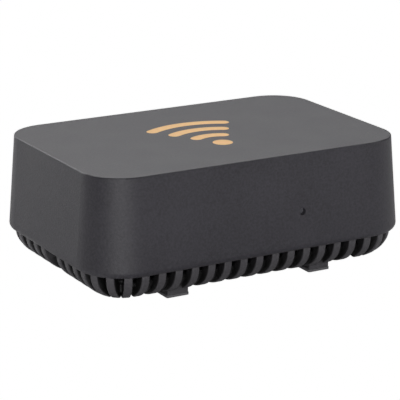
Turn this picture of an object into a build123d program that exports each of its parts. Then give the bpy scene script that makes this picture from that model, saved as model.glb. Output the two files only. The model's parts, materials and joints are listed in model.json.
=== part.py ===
"""Desktop cellular signal booster: moulded cover, ribbed vent base, radio boards and rear connectors.

Millimetres. +Z is up, the origin is the centre of the underside with the feet standing on Z = 0.
X runs along the long side, the indicator side faces -Y and the connectors face +Y.
"""
from build123d import *
import math
import os

# ---------------------------------------------------------------- cover
top_length = 125.0          # flat top, along X
top_width = 83.7            # flat top, along Y
top_corner_radius = 15.2
overall_height = 48.0
wall_draft = 4.45           # degrees, the walls spread towards the base
cover_wall = 2.4
cover_roof = 2.6
top_edge_radius = 0.5
lip_height = 12.4           # underside of the cover wall
lip_radius = 2.25           # round along the lower outside edge
post_radius = 3.6           # screw posts that hang from the roof
fit_gap = 0.15              # between mouldings that plug together
past = 1.0                  # how far cutters and joined shapes run past a face
post_offset_x = 1.2         # screw posts, from the centre of the corner's round
post_offset_y = 3.4

# ---------------------------------------------------------------- vent base
rim_height = 4.6            # plug-in rim above the lip
rim_wall = 2.2
rib_pitch = 6.55            # along the lip, adjusted to a whole number of ribs
rib_thickness = 3.0
rib_drop = 11.1             # height of the elliptical rib edge
rib_reach = 15.1            # how far that edge runs inwards
rib_edge_radius = 0.5
rib_end_angle = 80.0        # degrees along the ellipse where a long rib ends
finger_end_angle = 58.0     # the same for the short ribs of the corners
rib_tongue = 1.0            # how far a rib runs up into the rim
tongue_inset = 0.5          # of the tongue inside the rim's faces
relief_height = 3.0         # the pan's underside where its corners start to slope up
relief_slope = 30.0         # degrees
pan_inset = 4.5             # from the ribs' top edge to the pan behind them
pan_wall = 2.2
pan_bend = 9.5              # outer radius between pan wall and floor
pan_bottom = 1.7
pan_top = 8.6
recess_radius = 3.4         # pockets for the heads of the case screws
recess_top = 7.0
boss_wall = 1.6
boss_bottom = 5.0

# ---------------------------------------------------------------- feet
foot_offset = 4.5           # in rib pitches from the middle of the long side
foot_length = 8.3
foot_depth = 10.0
foot_face = 7.5             # from the ribs' top edge in to the foot's outer face
foot_root = 1.5             # how far a foot runs up through the pan's floor
pad_height = 0.9
pad_neck = 0.25
pad_proud = 0.3
pad_corner = 0.6

# ---------------------------------------------------------------- screws
case_screw_radius = 1.45
case_screw_grip = 11.0      # thread held by the cover post
screw_head_radius = 2.8
screw_head_height = 2.0
drive_width = 1.1
drive_depth = 1.0
screw_gap = 0.05            # modelled between a thread and its hole
screw_spare = 1.5           # hole beyond the end of a case screw
screw_tip_gap = 0.5         # hole beyond the end of a board screw
clearance_radius = 1.7
board_screw_radius = 1.2
board_screw_length = 7.0
board_head_radius = 2.4
board_head_height = 1.6

# ---------------------------------------------------------------- indicator
light_x = 16.6
light_height = 26.8
light_hole_radius = 1.3
light_pipe_recess = 1.7
light_boss_radius = 3.0
light_boss_length = 2.0
light_flange_radius = 2.2
light_flange = 0.8
led_length = 3.2
led_depth = 1.8
led_height = 2.4
led_gap = 0.2

# ---------------------------------------------------------------- main board
board_thickness = 1.6
board_edge_gap = 3.0        # from the board to the cover's inner wall
board_notch = 5.6           # square notch half-size around each screw post
standoff_radius = 3.2
standoff_from_end = 9.0
standoff_y = 19.0

# ---------------------------------------------------------------- rear connector bay
bay_length = 66.0
bay_top = 34.5
bay_depth = 10.4            # from the rear wall's widest line to the panel
bay_wall = 2.0
panel_thickness = 2.0
sill_thickness = 2.0

antenna_socket_x = -19.0
socket_thread_radius = 3.175
socket_thread_length = 9.0  # beyond the panel
socket_collar_radius = 3.5  # thicker thread through the panel, for the nut
socket_mouth_radius = 2.3
socket_mouth_depth = 3.2
socket_bore_radius = 2.05
socket_flange = 7.9
socket_flange_depth = 3.0
contact_radius = 0.64
contact_bore = 0.47
contact_bore_depth = 2.6
contact_proud = 0.6         # of the insulator
nut_across_flats = 9.0
nut_height = 2.2
washer_radius = 5.3
washer_height = 0.6
hole_gap = 0.1

power_jack_x = 19.0
jack_length = 13.0
jack_width = 9.0
jack_height = 7.2
jack_nose_radius = 4.2
jack_bore_radius = 3.2
jack_bore_depth = 10.0
jack_pin_radius = 1.0
jack_pin_setback = 0.6

button_x = 0.0
button_radius = 2.5
button_clearance = 0.08
button_proud = 0.6
button_travel = 0.5
button_flange_radius = 3.4
button_flange = 0.9
button_stop_gap = 0.05
button_edge = 0.3
switch_gap = 0.4            # from the pressed button to the switch
switch_length = 6.0
switch_depth = 3.6
switch_height = 4.4
plunger_radius = 1.2
plunger_clearance = 0.06
plunger_reach = 1.2         # of the plunger into the switch at rest
plunger_overrun = 0.6       # room behind the plunger at full travel

# ---------------------------------------------------------------- radio parts
shield_length = 30.0
shield_width = 22.0
shield_height = 4.4
shield_sheet = 0.3
shield_spacing = 33.0
shield_front_gap = 7.0
duplexer_size = (13.0, 8.0, 3.4)
resonator_radius = 0.6
resonator_shares = (-0.3, -0.1, 0.1, 0.3)    # places along the duplexer, as shares of its length
amplifier_size = (9.0, 9.0, 1.5)
thermal_pad_size = (11.0, 11.0, 1.0)
processor_size = (12.0, 12.0, 1.2)
processor_x = -4.0
oscillator_size = (5.0, 3.2, 1.3)
oscillator_x = -17.0
inductor_size = (7.0, 7.0, 4.0)
inductor_corner = 1.2
inductor_xs = (9.0, 18.0)
capacitor_radius = 3.15
capacitor_height = 6.2
capacitor_xs = (26.0, 34.0)
chip_capacitor_size = (1.6, 0.8, 0.7)
chip_capacitor_count = 9
chip_capacitor_pitch = 3.2
chip_row_gap = 1.6          # from the shields to the row

sink_plate = 3.0
sink_fin = 1.4
sink_fin_pitch = 4.4
sink_fin_height = 10.5
sink_width = 44.0
sink_standoff_gap = 4.5
sink_screw_inset = 4.5

# ---------------------------------------------------------------- indoor antenna
antenna_post_gap = 1.5      # from the screw posts to the antenna board's ends
antenna_bay_gap = 2.5       # from the connector bay to the antenna board
antenna_drop = 2.8          # from the roof to the antenna board
antenna_post_radius = 2.6
antenna_pin_radius = 1.1
antenna_pin_tip = 0.6       # below the board
antenna_post_inset = 5.0
patch_inset_x = 13.0
patch_inset_y = 8.0
patch_sheet = 0.3
patch_slot = 1.0
patch_slot_share = 0.25     # slot length as a share of the patch's width
patch_feed = 4.0            # half the distance between the slots
ground_inset = 16.0         # both sides together, clear of the corner pins
ground_sheet = 0.2
cable_radius = 0.6
cable_exit = 2.2            # plug centre to the start of the cable
cable_loop = 16.0           # how far the pigtail swings outwards
cable_edge_gap = 4.0        # from the pigtail's loop to the board's end
plug_shift = 14.0           # between the two plugs, along X
plug_tail_width = 1.6
ground_hole_gap = 0.8
cable_bend_share = 0.46     # bend radius as a share of the climb
coax_socket_radius = 1.5
coax_socket_height = 0.6
coax_plug_radius = 1.9
coax_plug_height = 1.3

# ---------------------------------------------------------------- worked-out places
draft_slope = math.tan(math.radians(wall_draft))
lip_tangent = lip_radius / math.tan(math.radians((90 - wall_draft) / 2))


def spread(height):
    """How far the drafted walls stand outside the top's edge at a height."""
    return (overall_height - height) * draft_slope


def half_length(height, inset=0.0):
    return top_length / 2 + spread(height) - inset


def half_width(height, inset=0.0):
    return top_width / 2 + spread(height) - inset


def corner(height, inset=0.0):
    return top_corner_radius + spread(height) - inset


wall_across = cover_wall / math.cos(math.radians(wall_draft))
rib_x = half_length(lip_height, lip_tangent)
rib_y = half_width(lip_height, lip_tangent)
rib_corner = corner(lip_height, lip_tangent)
straight_x = rib_x - rib_corner
straight_y = rib_y - rib_corner
corner_arc = rib_corner * math.pi / 2
quarter_run = straight_x + corner_arc + straight_y
ribs_per_quarter = round(quarter_run / rib_pitch)
rib_step = quarter_run / ribs_per_quarter

rim_top = lip_height + rim_height
rim_inset = wall_across + fit_gap
rim_x = half_length(rim_top, rim_inset)
rim_y = half_width(rim_top, rim_inset)
rim_corner = corner(rim_top, rim_inset)

pan_floor = pan_bottom + pan_wall
roof_inside = overall_height - cover_roof

post_x = straight_x + post_offset_x
post_y = straight_y + post_offset_y
boss_top = recess_top + pan_wall
post_bottom = boss_top + fit_gap

board_top = light_height - led_height / 2
board_bottom = board_top - board_thickness
board_middle = board_bottom + board_thickness / 2
jack_middle = board_top + jack_height / 2
switch_middle = board_top + switch_height / 2
widest_y = half_width(lip_height + lip_radius)
panel_face = widest_y - bay_depth
panel_back = panel_face - panel_thickness
nut_front = panel_face + washer_height + nut_height
button_back = panel_back - button_stop_gap - button_flange
switch_face = button_back - button_travel - switch_gap
board_x = half_length(board_top, wall_across) - board_edge_gap
board_front = -(half_width(board_top, wall_across) - board_edge_gap)
board_rear = panel_back - socket_flange_depth
standoff_x = board_x - standoff_from_end

shield_y = board_front + shield_front_gap + shield_width / 2
jack_front = panel_back - jack_length
strip_y = (shield_y + shield_width / 2 + jack_front) / 2
shield_xs = {"uplink": -shield_spacing / 2, "downlink": shield_spacing / 2}

chip_bottom = board_bottom - amplifier_size[2]
sink_top = chip_bottom - thermal_pad_size[2]
sink_x = standoff_x - standoff_radius - sink_standoff_gap

antenna_top = roof_inside - antenna_drop
antenna_bottom = antenna_top - board_thickness
ground_bottom = antenna_bottom - ground_sheet
antenna_length = 2 * (post_x - post_radius - antenna_post_gap)
antenna_width = 2 * (panel_back - antenna_bay_gap)
antenna_post_x = antenna_length / 2 - antenna_post_inset
antenna_post_y = antenna_width / 2 - antenna_post_inset
patch_length = antenna_length - 2 * patch_inset_x
patch_width = antenna_width - 2 * patch_inset_y

lower_plug = (-board_x + cable_loop + cable_edge_gap, strip_y)
upper_plug = (lower_plug[0] + plug_shift, strip_y)
lower_cable_height = board_top + coax_socket_height + coax_plug_height / 2
upper_cable_height = antenna_bottom - coax_socket_height - coax_plug_height / 2


# ---------------------------------------------------------------- shared shapes
def block(length, width, height, centre_x=0.0, centre_y=0.0, bottom=0.0):
    """Upright box given by its plan centre and its underside."""
    return Pos(centre_x, centre_y, bottom + height / 2) * Box(length, width, height)


def span(low, high):
    """Box between two opposite corners."""
    size = [high[i] - low[i] for i in range(3)]
    middle = [(high[i] + low[i]) / 2 for i in range(3)]
    return Pos(*middle) * Box(*size)


def rod(radius, height, centre_x, centre_y, bottom):
    """Upright cylinder on its underside."""
    return Pos(centre_x, centre_y, bottom + height / 2) * Cylinder(radius, height)


def along_y(radius, near, far, centre_x, height):
    """Cylinder that runs along Y between two depths."""
    return Pos(centre_x, (near + far) / 2, height) * Rot(90, 0, 0) * Cylinder(radius, far - near)


def rounded_block(half_x, half_y, radius, bottom, top):
    plan = Plane.XY.offset(bottom) * RectangleRounded(2 * half_x, 2 * half_y, radius)
    return extrude(plan, amount=top - bottom)


def drafted_block(bottom, top, inset):
    """The casing's drafted form between two heights, inset from its outside."""
    plan = RectangleRounded(
        2 * half_length(bottom, inset), 2 * half_width(bottom, inset), corner(bottom, inset))
    return extrude(Plane.XY.offset(bottom) * plan, amount=top - bottom, taper=wall_draft)


def four(half_x, half_y):
    """The four mirrored places of a pattern."""
    return [(sx * half_x, sy * half_y) for sx in (-1, 1) for sy in (-1, 1)]


def group(solids):
    """Separate solids kept together in one node."""
    return Compound(children=list(solids))


def screw(radius, length, head_radius, head_height, x, y, seat, up):
    """Cross-headed screw: its shank points up or down from the seat under its head."""
    shank_bottom = seat if up else seat - length
    head_bottom = seat - head_height if up else seat
    drive_bottom = head_bottom if up else head_bottom + head_height - drive_depth
    body = rod(radius, length, x, y, shank_bottom) + rod(head_radius, head_height, x, y, head_bottom)
    body -= block(2 * drive_width, drive_width / 2, drive_depth, x, y, drive_bottom)
    body -= block(drive_width / 2, 2 * drive_width, drive_depth, x, y, drive_bottom)
    return body


# ---------------------------------------------------------------- casing
def casing_form():
    """Outside form of the closed casing above the ribs."""
    form = drafted_block(lip_height, overall_height, 0)
    low_edges = form.edges().group_by(Axis.Z)[0]
    form = fillet(low_edges, lip_radius)
    top_edges = form.edges().group_by(Axis.Z)[-1]
    return fillet(top_edges, top_edge_radius)


def bay_opening(gap, floor):
    """The rear bay's clear space, made smaller all round by a gap."""
    return span((-bay_length / 2 + gap, panel_back, floor),
                (bay_length / 2 - gap, widest_y + past, bay_top - gap))


def top_cover():
    form = casing_form()
    cavity = drafted_block(lip_height - past, roof_inside, wall_across)
    cover = form - cavity
    tunnel = span((-bay_length / 2 - bay_wall, panel_back, rim_top),
                  (bay_length / 2 + bay_wall, widest_y, bay_top + bay_wall))
    cover += tunnel & form
    for x, y in four(post_x, post_y):
        cover += rod(post_radius, roof_inside - post_bottom + past, x, y, post_bottom)
    for x, y in four(antenna_post_x, antenna_post_y):
        cover += rod(antenna_post_radius, antenna_drop + past, x, y, antenna_top)
        pin_bottom = antenna_bottom - antenna_pin_tip
        cover += rod(antenna_pin_radius, antenna_top + past - pin_bottom, x, y, pin_bottom)
    boss_end = -half_width(light_height, wall_across) + light_boss_length
    boss = along_y(light_boss_radius, -half_width(light_height, past), boss_end, light_x, light_height)
    cover += boss
    cover -= along_y(light_hole_radius, -widest_y - past, boss_end + past, light_x, light_height)
    cover -= bay_opening(0, lip_height - past)
    for x, y in four(post_x, post_y):
        cover -= rod(case_screw_radius + screw_gap, case_screw_grip + screw_spare, x, y, post_bottom)
    return cover


def place_on_lip(run):
    """Point on the ribs' top edge and the direction that faces out of it, by run from the front centre."""
    if run <= straight_x:
        return run, -rib_y, 270.0
    if run <= straight_x + corner_arc:
        turn = math.degrees((run - straight_x) / rib_corner)
        facing = math.radians(270 + turn)
        x = straight_x + rib_corner * math.cos(facing)
        y = -straight_y + rib_corner * math.sin(facing)
        return x, y, 270.0 + turn
    return rib_x, -(quarter_run - run), 0.0


def rib(end_angle, root_height, shoulder):
    """One rib in the XZ plane: X runs inwards from its top edge, with its outer edges rounded."""
    rib_top = lip_height - fit_gap
    root_x = pan_inset + pan_bend
    root_inside = root_height + pan_wall / 2
    tongue_outer = rib_x - rim_x + tongue_inset
    tongue_inner = rib_x - rim_x + rim_wall - tongue_inset
    tongue_top = lip_height + rib_tongue
    outer = EllipticalCenterArc((rib_reach, rib_top), rib_reach, rib_drop, start_angle=180, arc_size=end_angle)
    profile = outer + Polyline(
        outer @ 1, (root_x, root_height), (root_x, root_inside), (shoulder, root_inside),
        (pan_inset + pan_wall / 2, pan_top), (tongue_inner, rib_top), (tongue_inner, tongue_top),
        (tongue_outer, tongue_top), (tongue_outer, rib_top), outer @ 0)
    blade = extrude(make_face(Plane.XZ * profile), amount=rib_thickness / 2, both=True)
    return fillet(blade.edges().filter_by(GeomType.ELLIPSE), rib_edge_radius)


def vent_base():
    rim = rounded_block(rim_x, rim_y, rim_corner, lip_height, rim_top)
    rim -= rounded_block(rim_x - rim_wall, rim_y - rim_wall, rim_corner - rim_wall, lip_height, rim_top)
    pan = bent_pan(0) - bent_pan(pan_wall)
    pan_middle = pan_bottom + pan_wall / 2
    long_rib = rib(rib_end_angle, pan_middle, pan_inset + pan_bend - pan_wall * 2)
    finger = rib(finger_end_angle, relief_height + pan_wall / 2, pan_inset + pan_bend - pan_wall)
    ribs = []
    for index in range(ribs_per_quarter):
        run = index * rib_step
        x, y, facing = place_on_lip(run)
        beside_corner = straight_x - rib_step / 2 < run < straight_x + corner_arc + rib_step / 2
        blade = finger if beside_corner else long_rib
        for mirror_x in (1, -1):
            for mirror_y in (1, -1):
                if index == 0 and mirror_x < 0:
                    continue
                inward = mirrored_facing(facing, mirror_x, mirror_y) + 180
                ribs.append(Pos(mirror_x * x, mirror_y * y, 0) * Rot(0, 0, inward) * blade)
    base = rim + ribs
    base += pan
    base += foot_bosses()
    base += connector_sill()
    for x, y in four(standoff_x, standoff_y):
        base += rod(standoff_radius, board_bottom - pan_bottom - past, x, y, pan_bottom + past)
        base -= rod(board_screw_radius + screw_gap, board_screw_length, x, y, board_bottom - board_screw_length)
    for x, y in four(post_x, post_y):
        base += rod(recess_radius + boss_wall, boss_top - boss_bottom, x, y, boss_bottom)
        base -= rod(recess_radius, recess_top, x, y, 0)
        base -= rod(clearance_radius, boss_top, x, y, 0)
    return base


def mirrored_facing(facing, mirror_x, mirror_y):
    """Plan direction in degrees after mirroring in X and Y."""
    turn = math.radians(facing)
    return math.degrees(math.atan2(mirror_y * math.sin(turn), mirror_x * math.cos(turn)))


def bent_pan(skin):
    """Filled form of the pan, offset inwards by a skin thickness."""
    half_x = rib_x - pan_inset - skin
    half_y = rib_y - pan_inset - skin
    radius = rib_corner - pan_inset - skin
    bend = pan_bend - skin
    bottom = pan_bottom + skin
    form = rounded_block(half_x, half_y, radius, bottom, bottom + bend + past)
    form = fillet(form.edges().group_by(Axis.Z)[0], bend)
    form &= block(2 * rib_x, 2 * rib_y, pan_top, 0, 0, 0)
    slope = math.radians(relief_slope)
    outwards = math.sin(slope) / math.sqrt(2)
    depth = rib_corner + pan_bend
    for sign_x, sign_y in four(1, 1):
        facing = Vector(sign_x * outwards, sign_y * outwards, -math.cos(slope))
        start = Vector(sign_x * straight_x, sign_y * straight_y, relief_height) - facing * skin
        form -= Plane(origin=start, z_dir=facing) * Pos(0, 0, depth / 2) * Box(4 * depth, 4 * depth, depth)
    return form


def foot_places():
    """Plan centres of the four feet, with the side they stand on."""
    x = foot_offset * rib_step
    y = rib_y - foot_face - foot_depth / 2
    return {"front_left": (-x, -y), "front_right": (x, -y), "rear_left": (-x, y), "rear_right": (x, y)}


def foot_bosses():
    pads_top = pad_height + pad_neck
    return [block(foot_length, foot_depth, pan_floor + foot_root - pads_top, x, y, pads_top)
            for x, y in foot_places().values()]


def connector_sill():
    """Shelf under the connectors that also closes the cover's notch."""
    room = span((-bay_length / 2 + fit_gap, panel_back, lip_height),
                (bay_length / 2 - fit_gap, widest_y + past, rim_top))
    sill = casing_form() & room
    inner_y = rim_y - rim_wall
    sill -= span((-bay_length / 2 + bay_wall, panel_back, lip_height),
                 (bay_length / 2 - bay_wall, inner_y, rim_top - sill_thickness))
    return sill


def foot_pad(x, y):
    pad = block(foot_length + 2 * pad_proud, foot_depth + 2 * pad_proud, pad_height, x, y, 0)
    pad = fillet(pad.edges().filter_by(Axis.Z), pad_corner)
    neck = block(foot_length - 2 * pad_proud, foot_depth - 2 * pad_proud, pad_neck, x, y, pad_height)
    return pad + neck


def case_screws():
    length = post_bottom - recess_top + case_screw_grip
    return group(screw(case_screw_radius, length, screw_head_radius, screw_head_height, x, y, recess_top, True)
                 for x, y in four(post_x, post_y))


def rear_panel():
    panel = span((-bay_length / 2 + fit_gap, panel_back, rim_top),
                 (bay_length / 2 - fit_gap, panel_face, bay_top - fit_gap))
    for radius, x, height in ((socket_collar_radius + hole_gap, antenna_socket_x, board_middle),
                              (jack_nose_radius + hole_gap, power_jack_x, jack_middle),
                              (button_radius + button_clearance, button_x, switch_middle)):
        panel -= along_y(radius, panel_back - past, panel_face + past, x, height)
    return panel


# ---------------------------------------------------------------- boards
def main_board():
    board = span((-board_x, board_front, board_bottom), (board_x, board_rear, board_top))
    for x, y in four(post_x, post_y):
        out_x = math.copysign(board_x, x)
        out_y = math.copysign(half_width(0), y)
        near_x = x - math.copysign(board_notch, x)
        near_y = y - math.copysign(board_notch, y)
        board -= span((min(near_x, 2 * out_x), min(near_y, out_y), board_bottom),
                      (max(near_x, 2 * out_x), max(near_y, out_y), board_top))
    for x, y in four(standoff_x, standoff_y):
        board -= rod(clearance_radius, board_thickness, x, y, board_bottom)
    for x, y in sink_screw_places():
        board -= rod(clearance_radius, board_thickness, x, y, board_bottom)
    return board


def board_screws():
    length = board_screw_length - screw_tip_gap + board_thickness
    return group(screw(board_screw_radius, length, board_head_radius, board_head_height, x, y, board_top, False)
                 for x, y in four(standoff_x, standoff_y))


def sink_screw_places():
    return four(sink_x - sink_screw_inset, sink_width / 2 - sink_screw_inset)


def heat_sink():
    sink = block(2 * sink_x, sink_width, sink_plate, 0, 0, sink_top - sink_plate)
    fins = int((sink_width - sink_fin) / sink_fin_pitch) + 1
    for index in range(fins):
        y = (index - (fins - 1) / 2) * sink_fin_pitch
        sink += block(2 * sink_x, sink_fin, sink_fin_height, 0, y, sink_top - sink_plate - sink_fin_height)
    for x, y in sink_screw_places():
        sink -= rod(board_screw_radius + screw_gap, sink_plate, x, y, sink_top - sink_plate)
    return sink


def heat_sink_spacers():
    gap = board_bottom - sink_top
    return group(rod(board_head_radius, gap, x, y, sink_top) - rod(clearance_radius, gap, x, y, sink_top)
                 for x, y in sink_screw_places())


def heat_sink_screws():
    length = board_top - sink_top + sink_plate - screw_tip_gap
    return group(screw(board_screw_radius, length, board_head_radius, board_head_height, x, y, board_top, False)
                 for x, y in sink_screw_places())


def amplifier(x):
    return block(*amplifier_size, x, 0, chip_bottom)


def thermal_pads():
    return group(block(*thermal_pad_size, x, 0, sink_top) for x in shield_xs.values())


def shield_frame(x):
    skirt = shield_height - shield_sheet
    frame = block(shield_length, shield_width, skirt, x, shield_y, board_top)
    inner_length = shield_length - 2 * shield_sheet
    inner_width = shield_width - 2 * shield_sheet
    return frame - block(inner_length, inner_width, skirt, x, shield_y, board_top)


def shield_lid(x):
    """Pressed lid with a skirt that clips round the frame."""
    outer_length = shield_length + 2 * (shield_sheet + screw_gap)
    outer_width = shield_width + 2 * (shield_sheet + screw_gap)
    skirt = shield_height / 2
    top = board_top + shield_height
    lid = block(outer_length, outer_width, skirt, x, shield_y, top - skirt)
    inner_length = outer_length - 2 * shield_sheet
    inner_width = outer_width - 2 * shield_sheet
    return lid - block(inner_length, inner_width, skirt - shield_sheet, x, shield_y, top - skirt)


def duplexer(x):
    """Ceramic filter block with its row of resonator holes."""
    filter_block = block(*duplexer_size, x, shield_y, board_top)
    length, width, height = duplexer_size
    middle = board_top + height / 2
    for share in resonator_shares:
        filter_block -= along_y(resonator_radius, shield_y - width / 2, shield_y + width / 2,
                                x + share * length, middle)
    return filter_block


def control_processor():
    return block(*processor_size, processor_x, strip_y, board_top)


def reference_oscillator():
    return block(*oscillator_size, oscillator_x, strip_y, board_top)


def power_inductors():
    return group(fillet(block(*inductor_size, x, strip_y, board_top).edges().filter_by(Axis.Z), inductor_corner)
                 for x in inductor_xs)


def power_capacitors():
    return group(rod(capacitor_radius, capacitor_height, x, strip_y, board_top) for x in capacitor_xs)


def chip_capacitors():
    """Two rows of small parts between the shields and the middle strip."""
    row_y = shield_y + shield_width / 2 + chip_row_gap
    xs = [(index - (chip_capacitor_count - 1) / 2) * chip_capacitor_pitch
          for index in range(chip_capacitor_count)]
    return group(block(*chip_capacitor_size, x + side * shield_spacing / 2, row_y, board_top)
                 for x in xs for side in (-1, 1))


# ---------------------------------------------------------------- connectors
def antenna_socket():
    """Coaxial board-edge socket with a threaded barrel through the panel."""
    end = panel_face + socket_thread_length
    half = socket_flange / 2
    flange = span((antenna_socket_x - half, board_rear + fit_gap, board_middle - half),
                  (antenna_socket_x + half, panel_back, board_middle + half))
    collar = along_y(socket_collar_radius, panel_back - past, nut_front, antenna_socket_x, board_middle)
    socket = flange + collar
    socket += along_y(socket_thread_radius, panel_back, end, antenna_socket_x, board_middle)
    socket -= along_y(socket_bore_radius, board_rear - past, end + past, antenna_socket_x, board_middle)
    socket -= along_y(socket_mouth_radius, end - socket_mouth_depth, end + past, antenna_socket_x, board_middle)
    return socket


def antenna_socket_insulator():
    end = panel_face + socket_thread_length - socket_mouth_depth
    sleeve = along_y(socket_bore_radius, board_rear + fit_gap, end, antenna_socket_x, board_middle)
    return sleeve - along_y(contact_radius, board_rear - past, end + past, antenna_socket_x, board_middle)


def antenna_socket_contact():
    end = panel_face + socket_thread_length - socket_mouth_depth
    tip = end + contact_proud
    pin = along_y(contact_radius, board_rear + fit_gap, tip, antenna_socket_x, board_middle)
    return pin - along_y(contact_bore, tip - contact_bore_depth, tip + past, antenna_socket_x, board_middle)


def antenna_socket_washer():
    washer = along_y(washer_radius, panel_face, panel_face + washer_height, antenna_socket_x, board_middle)
    return washer - along_y(socket_collar_radius + screw_gap, panel_face - past, panel_face + past,
                            antenna_socket_x, board_middle)


def antenna_socket_nut():
    start = panel_face + washer_height
    hexagon = RegularPolygon(nut_across_flats / math.sqrt(3), 6)
    nut = extrude(Plane.XZ.offset(-start) * Pos(antenna_socket_x, board_middle) * hexagon, amount=-nut_height)
    return nut - along_y(socket_collar_radius + screw_gap, start - past, nut_front + past,
                         antenna_socket_x, board_middle)


def power_jack():
    half = jack_width / 2
    housing = span((power_jack_x - half, panel_back - jack_length, board_top),
                   (power_jack_x + half, panel_back - hole_gap, board_top + jack_height))
    jack = housing + along_y(jack_nose_radius, panel_back - past, panel_face, power_jack_x, jack_middle) \
        - span((power_jack_x - half, panel_back - hole_gap, 0),
               (power_jack_x + half, panel_face, jack_middle - jack_nose_radius))
    return jack - along_y(jack_bore_radius, panel_face - jack_bore_depth, panel_face + past,
                          power_jack_x, jack_middle)


def power_jack_pin():
    root = panel_face - jack_bore_depth
    tip = panel_face - jack_pin_setback
    pin = along_y(jack_pin_radius, root, tip, power_jack_x, jack_middle)
    return fillet(pin.edges().group_by(Axis.Y)[-1], jack_pin_radius / 2)


# ---------------------------------------------------------------- reset button
def reset_switch():
    body = span((button_x - switch_length / 2, switch_face - switch_depth, board_top),
                (button_x + switch_length / 2, switch_face, board_top + switch_height))
    depth = plunger_reach + button_travel + plunger_overrun
    return body - along_y(plunger_radius + plunger_clearance, switch_face - depth, switch_face + past,
                          button_x, switch_middle)


def switch_plunger():
    return along_y(plunger_radius, switch_face - plunger_reach, button_back, button_x, switch_middle)


def reset_button():
    flange = along_y(button_flange_radius, button_back, button_back + button_flange, button_x, switch_middle)
    head = along_y(button_radius, button_back, panel_face + button_proud, button_x, switch_middle)
    head = fillet(head.edges().group_by(Axis.Y)[-1], button_edge)
    return flange + head


# ---------------------------------------------------------------- indicator
def status_led():
    return span((light_x - led_length / 2, board_front, board_top),
                (light_x + led_length / 2, board_front + led_depth, board_top + led_height))


def light_pipe():
    """Tinted rod from the LED to a face set back inside the cover's wall."""
    outer = -half_width(light_height) + light_pipe_recess
    inner = board_front - led_gap
    boss_end = -half_width(light_height, wall_across) + light_boss_length
    pipe = along_y(light_hole_radius - screw_gap, outer, inner, light_x, light_height)
    flange_end = min(boss_end + light_flange, inner)
    return pipe + along_y(light_flange_radius, boss_end, flange_end, light_x, light_height)


# ---------------------------------------------------------------- indoor antenna
def antenna_board():
    board = block(antenna_length, antenna_width, board_thickness, 0, 0, antenna_bottom)
    for x, y in four(antenna_post_x, antenna_post_y):
        board -= rod(antenna_pin_radius + hole_gap, board_thickness, x, y, antenna_bottom)
    return board


def antenna_patch():
    patch = block(patch_length, patch_width, patch_sheet, 0, 0, antenna_top)
    slot = patch_width * patch_slot_share
    for side in (-1, 1):
        patch -= block(patch_slot, slot, patch_sheet, side * patch_feed, (slot - patch_width) / 2, antenna_top)
    return patch


def antenna_ground():
    sheet = block(antenna_length - ground_inset, antenna_width - ground_inset, ground_sheet, 0, 0, ground_bottom)
    return sheet - rod(coax_socket_radius + ground_hole_gap, ground_sheet, *upper_plug, ground_bottom)


def cable_sockets():
    lower = rod(coax_socket_radius, coax_socket_height, *lower_plug, board_top)
    upper = rod(coax_socket_radius, coax_socket_height, *upper_plug, antenna_bottom - coax_socket_height)
    return group((lower, upper))


def cable_plugs():
    plugs = []
    for (x, y), height in ((lower_plug, lower_cable_height), (upper_plug, upper_cable_height)):
        bottom = height - coax_plug_height / 2
        plug = rod(coax_plug_radius, coax_plug_height, x, y, bottom)
        plug += block(cable_exit, plug_tail_width, coax_plug_height, x - cable_exit / 2, y, bottom)
        plugs.append(plug)
    return group(plugs)


def antenna_cable():
    """Pigtail from the main board up to the antenna: out to the side, up and back."""
    turn_x = lower_plug[0] - cable_exit - cable_loop
    climb = upper_cable_height - lower_cable_height
    route = FilletPolyline(
        (lower_plug[0] - cable_exit, strip_y, lower_cable_height), (turn_x, strip_y, lower_cable_height),
        (turn_x, strip_y, upper_cable_height), (upper_plug[0] - cable_exit, strip_y, upper_cable_height),
        radius=climb * cable_bend_share)
    start = Plane(origin=route @ 0, z_dir=route % 0)
    return sweep(start * Circle(cable_radius), path=route)


# ---------------------------------------------------------------- write the parts
def all_parts():
    parts = {
        "top_cover": top_cover(),
        "vent_base": vent_base(),
        "rear_panel": rear_panel(),
        "case_screws": case_screws(),
        "main_board": main_board(),
        "board_screws": board_screws(),
        "heat_sink": heat_sink(),
        "heat_sink_spacers": heat_sink_spacers(),
        "heat_sink_screws": heat_sink_screws(),
        "thermal_pads": thermal_pads(),
        "control_processor": control_processor(),
        "reference_oscillator": reference_oscillator(),
        "power_inductors": power_inductors(),
        "power_capacitors": power_capacitors(),
        "chip_capacitors": chip_capacitors(),
        "antenna_socket": antenna_socket(),
        "antenna_socket_insulator": antenna_socket_insulator(),
        "antenna_socket_contact": antenna_socket_contact(),
        "antenna_socket_washer": antenna_socket_washer(),
        "antenna_socket_nut": antenna_socket_nut(),
        "power_jack": power_jack(),
        "power_jack_pin": power_jack_pin(),
        "reset_switch": reset_switch(),
        "switch_plunger": switch_plunger(),
        "reset_button": reset_button(),
        "status_led": status_led(),
        "light_pipe": light_pipe(),
        "antenna_board": antenna_board(),
        "antenna_patch": antenna_patch(),
        "antenna_ground": antenna_ground(),
        "cable_sockets": cable_sockets(),
        "cable_plugs": cable_plugs(),
        "antenna_cable": antenna_cable(),
    }
    for path, x in shield_xs.items():
        parts[path + "_amplifier"] = amplifier(x)
        parts[path + "_shield_frame"] = shield_frame(x)
        parts[path + "_shield_lid"] = shield_lid(x)
        parts[path + "_duplexer"] = duplexer(x)
    for place, (x, y) in foot_places().items():
        parts["foot_pad_" + place] = foot_pad(x, y)
    return parts


os.makedirs("parts", exist_ok=True)
for name, solid in all_parts().items():
    export_step(solid, "parts/" + name + ".step")
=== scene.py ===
"""Looks of a desktop cellular signal booster: moulded cover, ribbed base, rear connectors and boards.

Metres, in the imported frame: +Z up, the indicator side faces -Y and the connectors face +Y.
"""
import bmesh
import bpy
import json
import math
from mathutils import Matrix, Vector


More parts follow.
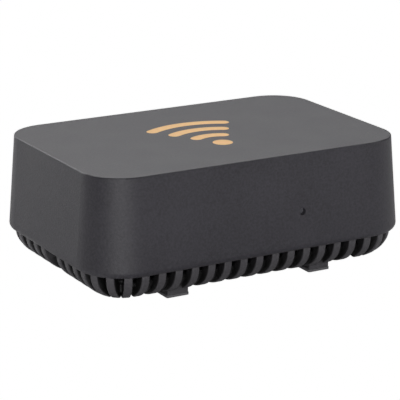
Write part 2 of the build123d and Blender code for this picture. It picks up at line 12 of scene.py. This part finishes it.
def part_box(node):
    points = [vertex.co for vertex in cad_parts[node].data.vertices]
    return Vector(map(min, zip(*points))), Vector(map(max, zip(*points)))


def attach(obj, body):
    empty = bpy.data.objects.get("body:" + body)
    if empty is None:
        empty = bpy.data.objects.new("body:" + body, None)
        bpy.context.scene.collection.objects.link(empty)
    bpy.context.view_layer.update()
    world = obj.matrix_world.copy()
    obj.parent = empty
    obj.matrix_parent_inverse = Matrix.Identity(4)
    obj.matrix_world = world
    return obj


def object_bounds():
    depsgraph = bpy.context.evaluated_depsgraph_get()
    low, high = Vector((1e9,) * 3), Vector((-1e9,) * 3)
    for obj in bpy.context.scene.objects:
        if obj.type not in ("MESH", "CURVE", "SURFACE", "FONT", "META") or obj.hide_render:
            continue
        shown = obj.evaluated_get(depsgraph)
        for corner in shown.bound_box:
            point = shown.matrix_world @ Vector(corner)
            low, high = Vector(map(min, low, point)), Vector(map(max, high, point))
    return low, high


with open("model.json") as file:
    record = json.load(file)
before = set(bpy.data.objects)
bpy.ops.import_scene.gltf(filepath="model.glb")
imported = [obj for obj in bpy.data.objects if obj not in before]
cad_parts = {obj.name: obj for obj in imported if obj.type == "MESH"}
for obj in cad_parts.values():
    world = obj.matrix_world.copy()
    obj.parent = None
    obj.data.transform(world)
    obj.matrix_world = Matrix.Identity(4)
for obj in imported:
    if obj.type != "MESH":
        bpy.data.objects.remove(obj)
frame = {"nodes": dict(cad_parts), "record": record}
cad_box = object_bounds()
nodes = frame["nodes"]

MM = 0.001

# sockets of the Mix node that carry a colour
MIX_SHARE, MIX_FIRST, MIX_SECOND, MIX_RESULT = 0, 6, 7, 2
# a noise pattern mostly stays between these values, so they are stretched to a whole range
NOISE_LOW, NOISE_HIGH = 0.3, 0.7
# radians that the Wave node turns through in one unit at scale 1
WAVE_TURN = 20


# ---------------------------------------------------------------- small helpers
def linear(hex_colour):
    """sRGB hex such as "#808080" to the linear colour a shader takes."""
    channels = [int(hex_colour[i:i + 2], 16) / 255 for i in (1, 3, 5)]
    return [c / 12.92 if c <= 0.04045 else ((c + 0.055) / 1.055) ** 2.4 for c in channels] + [1.0]


def per_mm(size_mm):
    """Scale of a pattern whose features are about size_mm across."""
    return 1 / (size_mm * MM)


def add(tree, kind, inputs=None, **settings):
    """Adds a node with its settings; an input takes a value or another node's output."""
    node = tree.nodes.new(kind)
    for name, value in settings.items():
        setattr(node, name, value)
    for socket, value in (inputs or {}).items():
        if isinstance(value, bpy.types.NodeSocket):
            tree.links.new(value, node.inputs[socket])
        else:
            node.inputs[socket].default_value = value
    return node


def new_material(name):
    """Empty material, its node tree and the place that its patterns follow."""
    material = bpy.data.materials.new(name)
    material.use_nodes = True
    tree = material.node_tree
    tree.nodes.clear()
    return material, tree, add(tree, "ShaderNodeTexCoord").outputs["Object"]


def finished(material, surface):
    """Closes a material with the inputs of its shader."""
    shader = add(material.node_tree, "ShaderNodeBsdfPrincipled", surface)
    add(material.node_tree, "ShaderNodeOutputMaterial", {"Surface": shader.outputs["BSDF"]})
    return material


# ---------------------------------------------------------------- finishes
def spark_textured_abs(name, dark, light, painted_shade_mm=0.0):
    """ABS moulded in a spark-eroded tool: a fine even pebble that scatters a soft sheen, slightly mottled.

    With painted_shade_mm, faces turn nearly black where others stand around them within that distance: this is
    painted shade, standing in for the shade that gathers between deep ribs.
    """
    material, tree, place = new_material(name)
    # real pebbles are 0.1 mm, drawn coarser so that they show
    pebble = add(tree, "ShaderNodeTexNoise", {
        "Vector": place, "Scale": per_mm(0.45), "Detail": 1.0}).outputs["Fac"]
    speckle = add(tree, "ShaderNodeTexNoise", {
        "Vector": place, "Scale": per_mm(0.8), "Detail": 2.0}).outputs["Fac"]
    cloud = add(tree, "ShaderNodeTexNoise", {
        "Vector": place, "Scale": per_mm(22.0), "Detail": 3.0}).outputs["Fac"]
    speckle_share = add(tree, "ShaderNodeMapRange", {
        "Value": speckle, "From Min": NOISE_LOW, "From Max": NOISE_HIGH, "To Min": 0.0, "To Max": 0.7})
    cloud_share = add(tree, "ShaderNodeMapRange", {
        "Value": cloud, "From Min": NOISE_LOW, "From Max": NOISE_HIGH, "To Min": 0.0, "To Max": 0.3})
    tone = add(tree, "ShaderNodeMath", {
        0: speckle_share.outputs["Result"], 1: cloud_share.outputs["Result"]}, operation="ADD").outputs[0]
    colour = add(tree, "ShaderNodeMix", {
        MIX_SHARE: tone, MIX_FIRST: linear(dark), MIX_SECOND: linear(light)}, data_type="RGBA")
    # painted shade: the colour is mixed towards near-black where neighbouring faces crowd round, as between
    # the ribs
    if painted_shade_mm:
        openness = add(tree, "ShaderNodeAmbientOcclusion", {"Distance": painted_shade_mm * MM},
                       samples=8, only_local=True)
        lit_share = add(tree, "ShaderNodeMapRange", {
            "Value": openness.outputs["AO"], "From Min": 0.55, "From Max": 0.85, "To Min": 0.0, "To Max": 1.0})
        colour = add(tree, "ShaderNodeMix", {
            MIX_SHARE: lit_share.outputs["Result"], MIX_FIRST: linear("#060606"),
            MIX_SECOND: colour.outputs[MIX_RESULT]}, data_type="RGBA")
    roughness = add(tree, "ShaderNodeMapRange", {
        "Value": cloud, "From Min": NOISE_LOW, "From Max": NOISE_HIGH, "To Min": 0.49, "To Max": 0.55})
    relief = add(tree, "ShaderNodeBump", {"Height": pebble, "Distance": 0.06 * MM, "Strength": 1.0})
    return finished(material, {
        "Base Color": colour.outputs[MIX_RESULT], "Roughness": roughness.outputs["Result"], "IOR": 1.53,
        "Normal": relief.outputs["Normal"]})


def matte_rubber(name, dark, light):
    """Moulded rubber: dull, with a dusty mottling and no clear highlight."""
    material, tree, place = new_material(name)
    grain = add(tree, "ShaderNodeTexNoise", {
        "Vector": place, "Scale": per_mm(0.35), "Detail": 2.0}).outputs["Fac"]
    dust = add(tree, "ShaderNodeTexNoise", {
        "Vector": place, "Scale": per_mm(3.0), "Detail": 4.0}).outputs["Fac"]
    dusty_share = add(tree, "ShaderNodeMapRange", {
        "Value": dust, "From Min": NOISE_LOW, "From Max": NOISE_HIGH, "To Min": 0.0, "To Max": 1.0})
    colour = add(tree, "ShaderNodeMix", {
        MIX_SHARE: dusty_share.outputs["Result"], MIX_FIRST: linear(dark), MIX_SECOND: linear(light)},
        data_type="RGBA")
    roughness = add(tree, "ShaderNodeMapRange", {
        "Value": dust, "From Min": NOISE_LOW, "From Max": NOISE_HIGH, "To Min": 0.72, "To Max": 0.86})
    relief = add(tree, "ShaderNodeBump", {"Height": grain, "Distance": 0.03 * MM, "Strength": 1.0})
    return finished(material, {
        "Base Color": colour.outputs[MIX_RESULT], "Roughness": roughness.outputs["Result"], "IOR": 1.52,
        "Normal": relief.outputs["Normal"]})


def worked_metal(name, dark, light, roughness, grain_mm=0.5, stretch=(1, 1, 1), depth_mm=0.0012):
    """Plated, turned or drawn metal: clear reflections broken up by fine working marks and faint tarnish.

    A stretch under one draws the marks out along that axis, and over one packs them closer.
    """
    material, tree, place = new_material(name)
    along = add(tree, "ShaderNodeMapping", {"Vector": place, "Scale": stretch}).outputs["Vector"]
    marks = add(tree, "ShaderNodeTexNoise", {
        "Vector": along, "Scale": per_mm(grain_mm), "Detail": 3.0}).outputs["Fac"]
    tarnish = add(tree, "ShaderNodeTexNoise", {
        "Vector": place, "Scale": per_mm(4.0), "Detail": 3.0}).outputs["Fac"]
    bright_share = add(tree, "ShaderNodeMapRange", {
        "Value": tarnish, "From Min": NOISE_LOW, "From Max": NOISE_HIGH, "To Min": 0.0, "To Max": 1.0})
    colour = add(tree, "ShaderNodeMix", {
        MIX_SHARE: bright_share.outputs["Result"], MIX_FIRST: linear(dark), MIX_SECOND: linear(light)},
        data_type="RGBA")
    broken_gloss = add(tree, "ShaderNodeMapRange", {
        "Value": marks, "From Min": NOISE_LOW, "From Max": NOISE_HIGH, "To Min": roughness - 0.06,
        "To Max": roughness + 0.08})
    relief = add(tree, "ShaderNodeBump", {"Height": marks, "Distance": depth_mm * MM, "Strength": 1.0})
    return finished(material, {
        "Base Color": colour.outputs[MIX_RESULT], "Metallic": 1.0, "Roughness": broken_gloss.outputs["Result"],
        "Normal": relief.outputs["Normal"]})


def smooth_polymer(name, dark, light, roughness=0.4, blotch_mm=5.0):
    """Moulding with a smooth skin: even colour, soft gloss with slight flow marks."""
    material, tree, place = new_material(name)
    along = add(tree, "ShaderNodeMapping", {"Vector": place, "Scale": (1, 0.5, 1)}).outputs["Vector"]
    flow = add(tree, "ShaderNodeTexNoise", {
        "Vector": along, "Scale": per_mm(blotch_mm), "Detail": 2.0}).outputs["Fac"]
    grain = add(tree, "ShaderNodeTexNoise", {
        "Vector": place, "Scale": per_mm(0.3), "Detail": 1.0}).outputs["Fac"]
    pale_share = add(tree, "ShaderNodeMapRange", {
        "Value": flow, "From Min": NOISE_LOW, "From Max": NOISE_HIGH, "To Min": 0.0, "To Max": 1.0})
    colour = add(tree, "ShaderNodeMix", {
        MIX_SHARE: pale_share.outputs["Result"], MIX_FIRST: linear(dark), MIX_SECOND: linear(light)},
        data_type="RGBA")
    soft_gloss = add(tree, "ShaderNodeMapRange", {
        "Value": flow, "From Min": NOISE_LOW, "From Max": NOISE_HIGH, "To Min": roughness - 0.05,
        "To Max": roughness + 0.05})
    relief = add(tree, "ShaderNodeBump", {"Height": grain, "Distance": 0.01 * MM, "Strength": 1.0})
    return finished(material, {
        "Base Color": colour.outputs[MIX_RESULT], "Roughness": soft_gloss.outputs["Result"], "IOR": 1.5,
        "Normal": relief.outputs["Normal"]})


def solder_masked_board(name, mask, track):
    """Glass laminate under green solder mask: copper reads through as a lighter green, with a gloss."""
    material, tree, place = new_material(name)
    tracks = add(tree, "ShaderNodeTexBrick", {
        "Vector": place, "Scale": 1.0, "Mortar Size": 0.25 * MM, "Mortar Smooth": 0.1, "Brick Width": 5.2 * MM,
        "Row Height": 1.3 * MM}, offset=0.37, squash=0.6, squash_frequency=3).outputs["Fac"]
    blotches = add(tree, "ShaderNodeTexNoise", {
        "Vector": place, "Scale": per_mm(9.0), "Detail": 1.0}).outputs["Fac"]
    pours = add(tree, "ShaderNodeMapRange", {
        "Value": blotches, "From Min": 0.5, "From Max": 0.52, "To Min": 0.0, "To Max": 1.0}).outputs["Result"]
    copper = add(tree, "ShaderNodeMath", {0: tracks, 1: pours}, operation="MAXIMUM").outputs[0]
    colour = add(tree, "ShaderNodeMix", {
        MIX_SHARE: copper, MIX_FIRST: linear(mask), MIX_SECOND: linear(track)}, data_type="RGBA")
    relief = add(tree, "ShaderNodeBump", {"Height": copper, "Distance": 0.03 * MM, "Strength": 1.0})
    return finished(material, {
        "Base Color": colour.outputs[MIX_RESULT], "Roughness": 0.28, "IOR": 1.55,
        "Normal": relief.outputs["Normal"]})


def woven_laminate(name, dark, light):
    """Bare glass laminate: a pale weave under clear resin."""
    material, tree, place = new_material(name)
    # one radian in 0.5 mm, about 3 mm a repeat: far coarser than real glass cloth, so that it shows
    weave_scale = per_mm(0.5) / WAVE_TURN
    warp = add(tree, "ShaderNodeTexWave", {"Vector": place, "Scale": weave_scale},
               bands_direction="X").outputs["Fac"]
    weft = add(tree, "ShaderNodeTexWave", {"Vector": place, "Scale": weave_scale},
               bands_direction="Y").outputs["Fac"]
    weave = add(tree, "ShaderNodeMath", {0: warp, 1: weft}, operation="MULTIPLY").outputs[0]
    colour = add(tree, "ShaderNodeMix", {
        MIX_SHARE: weave, MIX_FIRST: linear(dark), MIX_SECOND: linear(light)}, data_type="RGBA")
    relief = add(tree, "ShaderNodeBump", {"Height": weave, "Distance": 0.01 * MM, "Strength": 1.0})
    return finished(material, {
        "Base Color": colour.outputs[MIX_RESULT], "Roughness": 0.35, "IOR": 1.55,
        "Normal": relief.outputs["Normal"]})


def tinted_acrylic(name, tint):
    """Smoke-tinted acrylic, polished: nearly opaque grey with a clear highlight and a faint haze."""
    material, tree, place = new_material(name)
    haze = add(tree, "ShaderNodeTexNoise", {
        "Vector": place, "Scale": per_mm(0.6), "Detail": 2.0}).outputs["Fac"]
    roughness = add(tree, "ShaderNodeMapRange", {
        "Value": haze, "From Min": NOISE_LOW, "From Max": NOISE_HIGH, "To Min": 0.18, "To Max": 0.3})
    return finished(material, {
        "Base Color": linear(tint), "Roughness": roughness.outputs["Result"], "IOR": 1.49,
        "Transmission Weight": 0.1})


def screen_printed_ink(name, dark, light):
    """Opaque ink printed on textured plastic: even colour that takes the pebble of the moulding under it."""
    material, tree, place = new_material(name)
    pebble = add(tree, "ShaderNodeTexNoise", {
        "Vector": place, "Scale": per_mm(0.45), "Detail": 1.0}).outputs["Fac"]
    density = add(tree, "ShaderNodeTexNoise", {
        "Vector": place, "Scale": per_mm(1.6), "Detail": 3.0}).outputs["Fac"]
    thin_share = add(tree, "ShaderNodeMapRange", {
        "Value": density, "From Min": NOISE_LOW, "From Max": NOISE_HIGH, "To Min": 0.0, "To Max": 1.0})
    colour = add(tree, "ShaderNodeMix", {
        MIX_SHARE: thin_share.outputs["Result"], MIX_FIRST: linear(dark), MIX_SECOND: linear(light)},
        data_type="RGBA")
    roughness = add(tree, "ShaderNodeMapRange", {
        "Value": density, "From Min": NOISE_LOW, "From Max": NOISE_HIGH, "To Min": 0.5, "To Max": 0.62})
    relief = add(tree, "ShaderNodeBump", {"Height": pebble, "Distance": 0.02 * MM, "Strength": 1.0})
    return finished(material, {
        "Base Color": colour.outputs[MIX_RESULT], "Roughness": roughness.outputs["Result"], "IOR": 1.48,
        "Normal": relief.outputs["Normal"]})


finishes = {
    # charcoal skin with a soft, slightly violet sheen
    "cover_plastic": spark_textured_abs("charcoal_abs_cover", "#252329", "#38363d"),
    # the same skin a little greyer, with painted shade that turns it black between the ribs
    "base_plastic": spark_textured_abs("charcoal_abs_base", "#403e42", "#4e4c50", painted_shade_mm=12.0),
    # neutral dark skin that sets the bright connectors off
    "panel_plastic": spark_textured_abs("dark_abs_panel", "#2e2e30", "#353537"),
    # plain mid grey, so that the button is found in the dark bay
    "button_plastic": smooth_polymer("grey_acetal_button", "#6c6c6e", "#767678", 0.45),
    # dull grey, with no highlight
    "foot_rubber": matte_rubber("charcoal_rubber_foot", "#59585b", "#646366"),
    # nearly black, with a blurred metal glint
    "case_screw_steel": worked_metal("black_zinc_steel", "#202022", "#2b2b2d", 0.35),
    # pale bluish metal
    "screw_steel": worked_metal("clear_zinc_steel", "#a9abad", "#c4c6c8", 0.3),
    # warm bright silver, the sharpest reflections of the steels
    "plated_steel": worked_metal("nickel_plated_steel", "#b9b7b2", "#cfcdc8", 0.2),
    # saturated yellow with sharp reflections
    "gold_brass": worked_metal("gold_plated_brass", "#c79a45", "#dcb55c", 0.22),
    # browner yellow, with fine turning rings
    "spacer_brass": worked_metal("turned_brass", "#b08d46", "#c6a25a", 0.28, 0.3, (1, 1, 8)),
    # soft grey metal with die lines along the fins
    "sink_aluminium": worked_metal("extruded_aluminium", "#a4a6a9", "#babcc0", 0.36, 0.4, (0.06, 1, 1), 0.004),
    # pale and slightly cloudy metal
    "shield_tin": worked_metal("tin_plated_sheet", "#a9aaa8", "#c2c3c0", 0.34, 1.2),
    # cream-tinged silver, satin and a little uneven
    "duplexer_ceramic": worked_metal("silvered_ceramic", "#b9b5aa", "#cfcbc0", 0.42, 0.6, depth_mm=0.004),
    # cool grey metal with draw lines up the can
    "capacitor_can": worked_metal("drawn_aluminium_can", "#9fa4aa", "#b5bac0", 0.3, 0.5, (1, 1, 0.1)),
    # salmon metal with faint tarnish
    "copper": worked_metal("bare_copper", "#a5603f", "#c07a52", 0.33, 0.8),
    # glossy deep green with lighter tracks
    "board_laminate": solder_masked_board("green_solder_mask", "#0d3f26", "#1d6b3f"),
    # straw yellow with a cloth pattern
    "antenna_laminate": woven_laminate("bare_glass_laminate", "#b9ac7e", "#d2c79c"),
    # dull powder blue
    "thermal_pad": matte_rubber("silicone_thermal_pad", "#7d93b3", "#8ba1c0"),
    # matt near-black
    "chip_package": smooth_polymer("moulded_epoxy_package", "#1b1b1d", "#242426", 0.55, 2.0),
    # dull dark grey, like fine cast iron
    "ferrite": matte_rubber("pressed_ferrite", "#2a2a2c", "#363638"),
    # tan, with a faint even grain
    "ceramic": smooth_polymer("fired_tan_ceramic", "#8f7a5c", "#a08a6a", 0.5, 0.6),
    # clean waxy white
    "ptfe": smooth_polymer("white_ptfe", "#dcdcd8", "#ececea", 0.42, 1.5),
    # black with a soft gloss
    "jack_plastic": smooth_polymer("black_nylon_jack", "#141416", "#1c1c1e", 0.38, 3.0),
    # black and a little duller
    "switch_body": smooth_polymer("black_nylon_switch", "#17171a", "#202023", 0.45, 2.0),
    # brick red with a soft gloss
    "switch_plunger": smooth_polymer("red_acetal_plunger", "#8e2a22", "#a0352c", 0.4, 1.0),
    # milky greenish white, glossy
    "led_package": smooth_polymer("milky_led_resin", "#cfd3c6", "#e2e5da", 0.25, 1.0),
    # mid grey behind a clear highlight
    "light_pipe_acrylic": tinted_acrylic("smoke_tinted_acrylic", "#5a5a5f"),
    # black with a clearer gloss than the mouldings
    "cable_jacket": smooth_polymer("black_fep_jacket", "#18181a", "#222224", 0.3, 2.0),
}
# light golden orange, as even as paint
ink = screen_printed_ink("gold_orange_ink", "#f3bd7a", "#f9c887")
# even silver grey with a satin gloss
label_film = smooth_polymer("satin_polyester_label", "#a5a6a8", "#a9aaac", 0.38, 6.0)

for entry in frame["record"]["subparts"]:
    node_object = nodes[entry["node"]]
    node_object.data.materials.clear()
    node_object.data.materials.append(finishes[entry["material_slot"]])


# ---------------------------------------------------------------- pieces made here
def piece(name, mesh, material, body):
    """Finished bmesh as an object that rides on a body."""
    data = bpy.data.meshes.new(name)
    mesh.to_mesh(data)
    mesh.free()
    data.materials.append(material)
    made = bpy.data.objects.new(name, data)
    bpy.context.scene.collection.objects.link(made)
    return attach(made, body)


def thicken(mesh, height):
    """Extrudes a flat mesh upwards into a closed film."""
    flat = list(mesh.faces)
    grown = bmesh.ops.extrude_face_region(mesh, geom=flat, use_keep_orig=True)
    raised = [item for item in grown["geom"] if isinstance(item, bmesh.types.BMVert)]
    bmesh.ops.translate(mesh, verts=raised, vec=(0, 0, height))
    bmesh.ops.recalc_face_normals(mesh, faces=mesh.faces)


def rounded_arc(mesh, centre, radius, stroke, half_angle):
    """Flat arc band, open side down, with half-round ends."""
    band_steps = 48
    end_steps = 16
    merge_gap = 0.01 * MM
    upwards = math.pi / 2
    start = upwards - half_angle
    direction = Vector((math.cos(start), math.sin(start), 0))
    ends = [mesh.verts.new(centre + direction * (radius + side * stroke / 2)) for side in (-1, 1)]
    edge = mesh.edges.new(ends)
    bmesh.ops.spin(mesh, geom=ends + [edge], cent=centre, axis=(0, 0, 1), angle=2 * half_angle,
                   steps=band_steps)
    for turn, sweep in ((start, -math.pi), (upwards + half_angle, math.pi)):
        outward = Vector((math.cos(turn), math.sin(turn), 0))
        middle_of_end = centre + outward * radius
        core = mesh.verts.new(middle_of_end)
        rim = mesh.verts.new(middle_of_end + outward * stroke / 2)
        spoke = mesh.edges.new((core, rim))
        bmesh.ops.spin(mesh, geom=[core, rim, spoke], cent=middle_of_end, axis=(0, 0, 1), angle=sweep,
                       steps=end_steps)
    bmesh.ops.remove_doubles(mesh, verts=mesh.verts, dist=merge_gap)


def signal_mark():
    """Generic printed sign on the cover: a dot under three arcs of waves."""
    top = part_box("top_cover")[1].z
    film = 0.03 * MM
    sunk = film / 3
    dot_offset = 15.0 * MM           # from the middle of the cover towards the indicator side
    dot_radius = 3.7 * MM
    arc_radii = (11.0, 20.5, 30.0)   # in millimetres, round the dot
    stroke = 4.6 * MM
    half_angle = math.radians(30)
    dot = Vector((0, -dot_offset, top - sunk))
    mesh = bmesh.new()
    bmesh.ops.create_circle(mesh, cap_ends=True, cap_tris=False, segments=48, radius=dot_radius,
                            matrix=Matrix.Translation(dot))
    for radius in arc_radii:
        rounded_arc(mesh, dot, radius * MM, stroke, half_angle)
    thicken(mesh, film)
    piece("signal_mark", mesh, ink, "case")


def rating_label():
    """Blank satin label under the base."""
    below = Vector((0, 0, -10 * MM))
    _, place, _, _ = nodes["vent_base"].ray_cast(below, Vector((0, 0, 1)))
    film = 0.12 * MM
    sunk = 0.2 * film
    length = 44 * MM
    width = 26 * MM
    corner_radius = 2 * MM
    mesh = bmesh.new()
    bmesh.ops.create_grid(mesh, x_segments=1, y_segments=1, size=0.5,
                          matrix=Matrix.Translation((0, 0, place.z - film)) @ Matrix.Diagonal(
                              (length, width, 1, 1)))
    bmesh.ops.bevel(mesh, geom=list(mesh.verts), offset=corner_radius, segments=6, profile=0.5,
                    affect="VERTICES", material=-1)
    thicken(mesh, film + sunk)
    piece("rating_label", mesh, label_film, "case")


def socket_thread():
    """Helical thread round the antenna socket's free barrel."""
    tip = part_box("antenna_socket")[1].y
    nut_low, nut_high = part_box("antenna_socket_nut")
    axis_x = (nut_low.x + nut_high.x) / 2
    axis_z = (nut_low.z + nut_high.z) / 2
    pitch = 0.7056 * MM              # 36 threads to the inch
    radius = 3.175 * MM
    crest = 0.16 * MM
    root = -0.05 * MM                # the thread's foot lies inside the barrel
    plain_tip = 0.9 * MM
    steps_in_turn = 36
    turns = int((tip - nut_high.y - plain_tip) / pitch)
    start = Vector((axis_x, nut_high.y + pitch / 2, axis_z))
    mesh = bmesh.new()
    profile = [(-pitch / 2, root), (0.0, crest), (pitch / 2, root)]
    verts = [mesh.verts.new(start + Vector((radius + out, along, 0))) for along, out in profile]
    edges = [mesh.edges.new(pair) for pair in zip(verts, verts[1:])]
    edges.append(mesh.edges.new((verts[-1], verts[0])))
    bmesh.ops.spin(mesh, geom=verts + edges, cent=start, axis=(0, 1, 0), dvec=(0, pitch / steps_in_turn, 0),
                   angle=2 * math.pi * turns, steps=steps_in_turn * turns)
    bmesh.ops.holes_fill(mesh, edges=[e for e in mesh.edges if e.is_boundary], sides=3)
    bmesh.ops.recalc_face_normals(mesh, faces=mesh.faces)
    piece("antenna_socket_thread", mesh, finishes["gold_brass"], "case")


signal_mark()
rating_label()
socket_thread()


# ---------------------------------------------------------------- stage, light and camera
low, high = cad_box
middle = (Vector(low) + Vector(high)) / 2


def flat_stage(name, height, material):
    """Large level sheet under the booster."""
    half_side = 4.0
    mesh = bmesh.new()
    bmesh.ops.create_grid(mesh, x_segments=1, y_segments=1, size=half_side,
                          matrix=Matrix.Translation((0, 0, height)))
    data = bpy.data.meshes.new(name)
    mesh.to_mesh(data)
    mesh.free()
    data.materials.append(material)
    sheet = bpy.data.objects.new(name, data)
    bpy.context.scene.collection.objects.link(sheet)
    return sheet


def studio_floor():
    """Pale paper that the booster stands on, unseen itself: it throws the light back up under the ribs."""
    material, _, _ = new_material("pale_paper_sweep")
    paper = finished(material, {"Base Color": linear("#f6f6f6"), "Roughness": 0.9, "Specular IOR Level": 0.1})
    flat_stage("studio_floor", 0, paper).visible_camera = False


def white_sweep():
    """Evenly lit white sheet just under the paper, which is what shows round the booster."""
    material, _, _ = new_material("lit_white_sweep")
    glow = finished(material, {
        "Base Color": linear("#ffffff"), "Emission Color": linear("#ffffff"), "Emission Strength": 1.0})
    sheet = flat_stage("white_sweep", -1.0 * MM, glow)
    sheet.visible_diffuse = False
    sheet.visible_glossy = False
    sheet.visible_shadow = False


def look_from(target, azimuth, elevation, distance):
    """Place and rotation of something that looks at a target; azimuth 0 looks along +Y."""
    turn = math.radians(azimuth)
    rise = math.radians(elevation)
    away = Vector((math.sin(turn) * math.cos(rise), -math.cos(turn) * math.cos(rise), math.sin(rise)))
    return target + away * distance, (-away).to_track_quat("-Z", "Y").to_euler()


def soft_box(name, azimuth, elevation, distance, width, height, power):
    """Rectangular lamp turned to the booster's middle; degrees, metres and watts."""
    light = bpy.data.lights.new(name, "AREA")
    light.shape = "RECTANGLE"
    light.size = width
    light.size_y = height
    light.energy = power
    holder = bpy.data.objects.new(name, light)
    bpy.context.scene.collection.objects.link(holder)
    holder.location, holder.rotation_euler = look_from(middle, azimuth, elevation, distance)


def dark_room():
    """World without light of its own: only the soft boxes light the booster."""
    world = bpy.data.worlds.new("studio_world")
    world.use_nodes = True
    world.node_tree.nodes["Background"].inputs["Strength"].default_value = 0.0
    bpy.context.scene.world = world


def studio_camera():
    """Long lens from the front left, a little above the cover."""
    aim = Vector((-4.2, -5.6, 24.4)) * MM
    camera_data = bpy.data.cameras.new("camera")
    camera_data.lens = 175.7
    camera_data.sensor_width = 36.0
    camera = bpy.data.objects.new("camera", camera_data)
    bpy.context.scene.collection.objects.link(camera)
    camera.location, camera.rotation_euler = look_from(aim, azimuth=-29.27, elevation=16.32, distance=0.72)
    bpy.context.scene.camera = camera


studio_floor()
white_sweep()
soft_box("back_overhead_box", 165, 45, 1.3, 1.4, 0.7, 12.5)
soft_box("front_left_box", -31, 12, 1.5, 1.0, 0.6, 10.0)
soft_box("front_box", 0, 22, 1.5, 0.8, 0.6, 2.9)
soft_box("back_left_strip", -157, 25, 1.2, 0.35, 0.8, 5.6)
soft_box("right_box", 60, 25, 1.5, 0.6, 0.6, 4.0)
dark_room()
studio_camera()
bpy.context.scene.view_settings.view_transform = "Standard"
